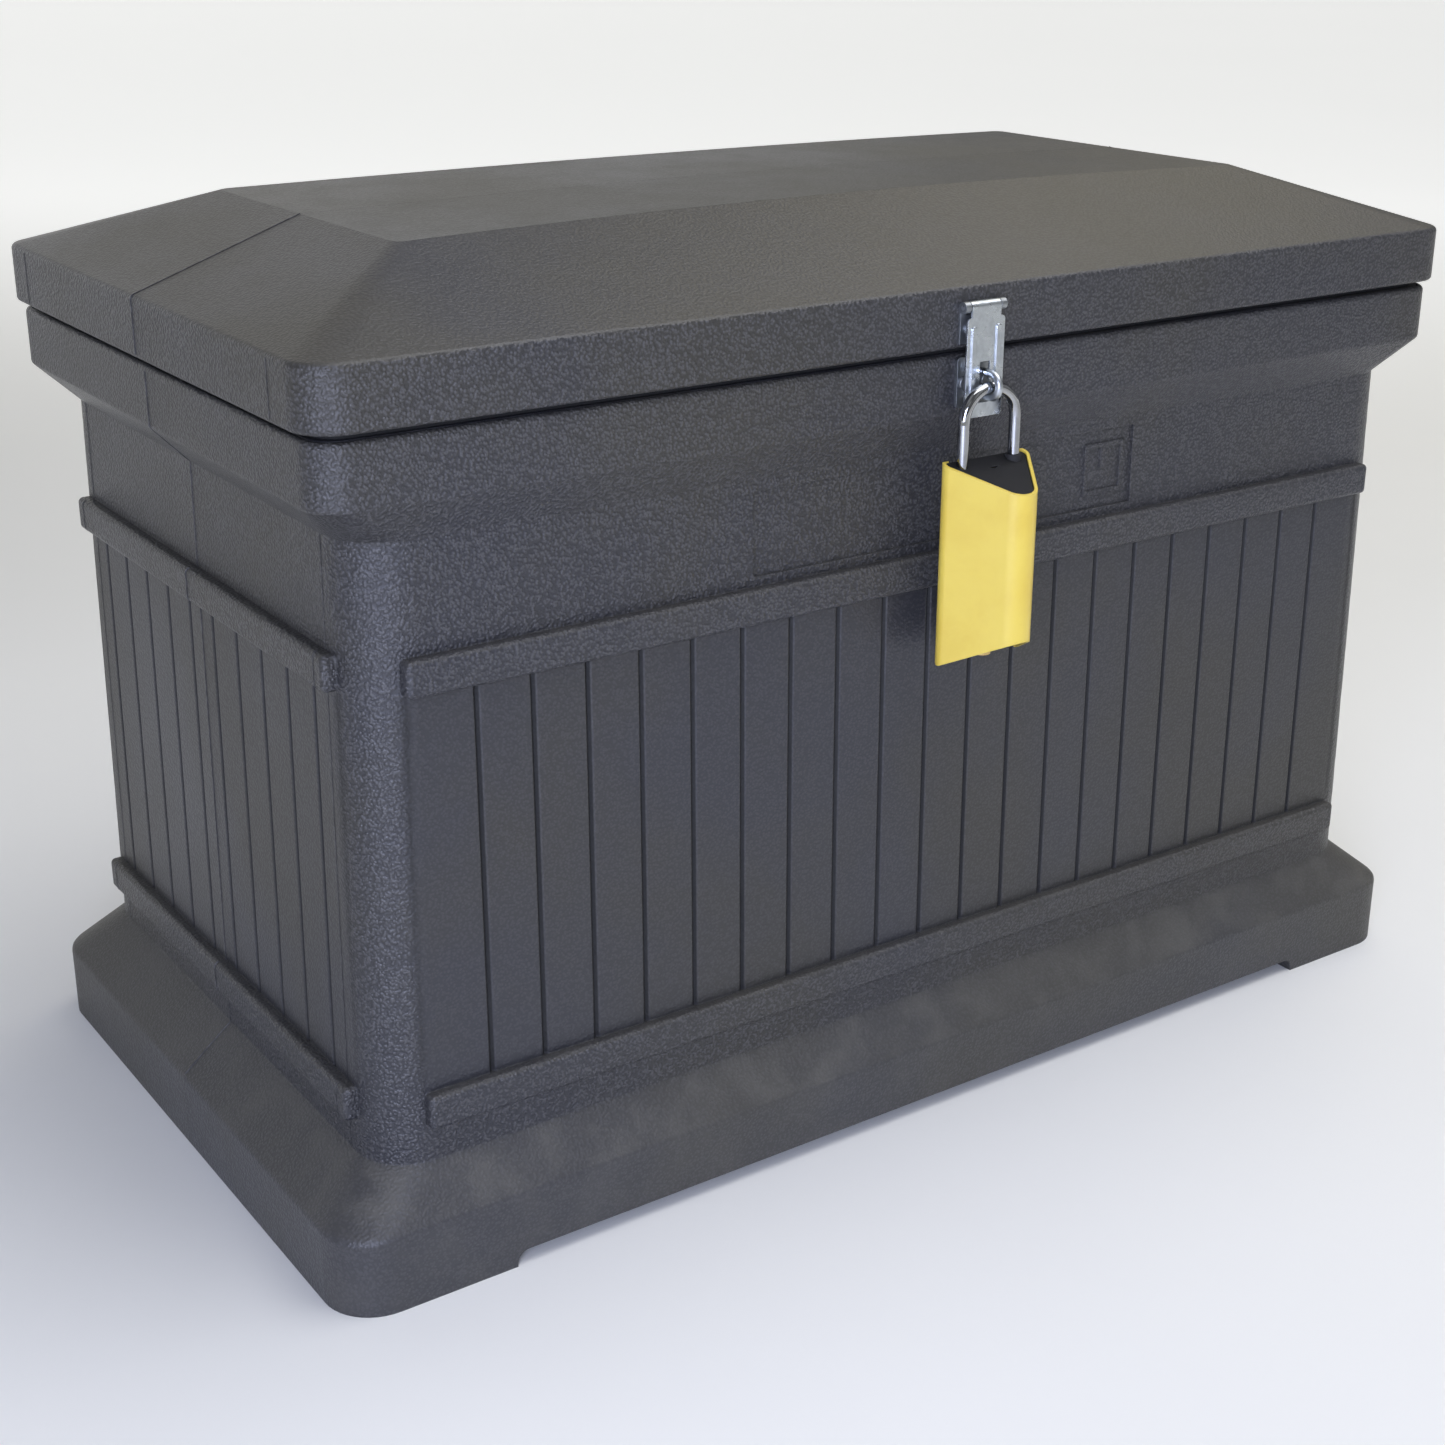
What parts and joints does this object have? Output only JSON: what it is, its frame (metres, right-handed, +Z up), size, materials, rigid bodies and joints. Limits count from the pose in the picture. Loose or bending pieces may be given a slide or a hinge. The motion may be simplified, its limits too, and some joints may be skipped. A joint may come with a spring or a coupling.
{
  "type": "parcel drop box",
  "caption": "Chest-shaped double-walled plastic parcel drop box with a hipped hinged lid, slotted lid stays, a hasp and staple, and a hanging padlock.",
  "frame": {"origin": "middle of the footprint on the ground, which is the centre of the four ground anchor holes", "axes": "+X along the box's length, -Y out of the front with the hasp, +Z up"},
  "size_m": [1.03, 0.6177, 0.687],
  "materials": {
    "shell_plastic": "dark graphite moulded polyethylene with a fine pebble grain",
    "liner_plastic": "smooth dark moulded polyethylene",
    "seal_rubber": "soft black foam rubber",
    "zinc_steel": "bright zinc plate",
    "shackle_chrome": "polished chrome plate",
    "sleeve_yellow": "satin yellow",
    "core_black": "fine-grained black",
    "plug_brass": "turned brass"
  },
  "bodies": {
    "box": {"body_shell": "shell_plastic", "inner_tub": "liner_plastic", "anchor_sleeves": "zinc_steel", "lid_seal": "seal_rubber", "hinge_body_leaf_left": "zinc_steel", "hinge_body_leaf_center": "zinc_steel", "hinge_body_leaf_right": "zinc_steel", "hinge_pin_left": "zinc_steel", "hinge_pin_center": "zinc_steel", "hinge_pin_right": "zinc_steel", "hinge_body_screws": "zinc_steel", "stay_body_bracket_left": "zinc_steel", "stay_body_bracket_right": "zinc_steel", "stay_body_rivets": "zinc_steel", "staple_plate": "zinc_steel", "staple": "zinc_steel", "staple_bolts": "zinc_steel", "staple_nuts": "zinc_steel", "staple_backing_plate": "zinc_steel"},
    "lid": {"lid_shell": "shell_plastic", "lid_liner": "liner_plastic", "hinge_lid_leaf_left": "zinc_steel", "hinge_lid_leaf_center": "zinc_steel", "hinge_lid_leaf_right": "zinc_steel", "hinge_lid_screws": "zinc_steel", "stay_lid_bracket_left": "zinc_steel", "stay_lid_bracket_right": "zinc_steel", "stay_lid_rivets": "zinc_steel", "hasp_leaf": "zinc_steel", "hasp_pin": "zinc_steel", "hasp_bolts": "zinc_steel", "hasp_nuts": "zinc_steel", "hasp_backing_plate": "zinc_steel"},
    "stay_left": {"stay_arm_left": "zinc_steel"},
    "stay_right": {"stay_arm_right": "zinc_steel"},
    "strap": {"hasp_strap": "zinc_steel"},
    "padlock": {"shackle": "shackle_chrome"},
    "lock_body": {"lock_sleeve": "sleeve_yellow", "lock_core": "core_black", "lock_bottom_cap": "core_black", "shackle_collar": "seal_rubber", "shackle_spring": "zinc_steel"},
    "key_plug": {"lock_plug": "plug_brass"},
    "pin_left": {"locking_pin_left": "zinc_steel"},
    "pin_right": {"locking_pin_right": "zinc_steel"}
  },
  "joints": [
    {"name": "lid_hinge", "type": "hinge", "parent": "box", "child": "lid", "pos_m": [0, 0.2785, 0.597], "axis": [-1, 0, 0], "range_deg": [0, 100]},
    {"name": "stay_left_pivot", "type": "hinge", "parent": "lid", "child": "stay_left", "pos_m": [-0.439, 0.14424, 0.61111], "axis": [1, 0, 0], "range_deg": [0, 50.5]},
    {"name": "stay_right_pivot", "type": "hinge", "parent": "lid", "child": "stay_right", "pos_m": [0.439, 0.14424, 0.61111], "axis": [1, 0, 0], "range_deg": [0, 50.5]},
    {"name": "padlock_off", "type": "slide", "parent": "box", "child": "padlock", "axis": [0, -1, 0], "range_m": [0, 0.25]},
    {"name": "strap_hinge", "type": "hinge", "parent": "lid", "child": "strap", "pos_m": [0, -0.2772, 0.626], "axis": [-1, 0, 0], "range_deg": [0, 170]},
    {"name": "lock_drop", "type": "slide", "parent": "padlock", "child": "lock_body", "axis": [0, 0, -1], "range_m": [0, 0.014]},
    {"name": "key_turn", "type": "hinge", "parent": "lock_body", "child": "key_plug", "pos_m": [0, -0.2908, 0.3762], "axis": [0, 0, 1], "range_deg": [0, 90]},
    {"name": "pin_left_draw", "type": "slide", "parent": "lock_body", "child": "pin_left", "axis": [1, 0, 0], "range_m": [0, 0.0045]},
    {"name": "pin_right_draw", "type": "slide", "parent": "lock_body", "child": "pin_right", "axis": [-1, 0, 0], "range_m": [0, 0.0045]}
  ],
  "couplings": [
    {"joint": "stay_left_pivot", "follows": "lid_hinge", "ratio": 0.5},
    {"joint": "stay_right_pivot", "follows": "lid_hinge", "ratio": 0.5},
    {"joint": "strap_hinge", "follows": "padlock_off", "rad_per_m": 11.8},
    {"joint": "key_turn", "follows": "lock_drop", "rad_per_m": 112.19},
    {"joint": "pin_left_draw", "follows": "lock_drop", "ratio": 0.3},
    {"joint": "pin_right_draw", "follows": "lock_drop", "ratio": 0.3}
  ]
}
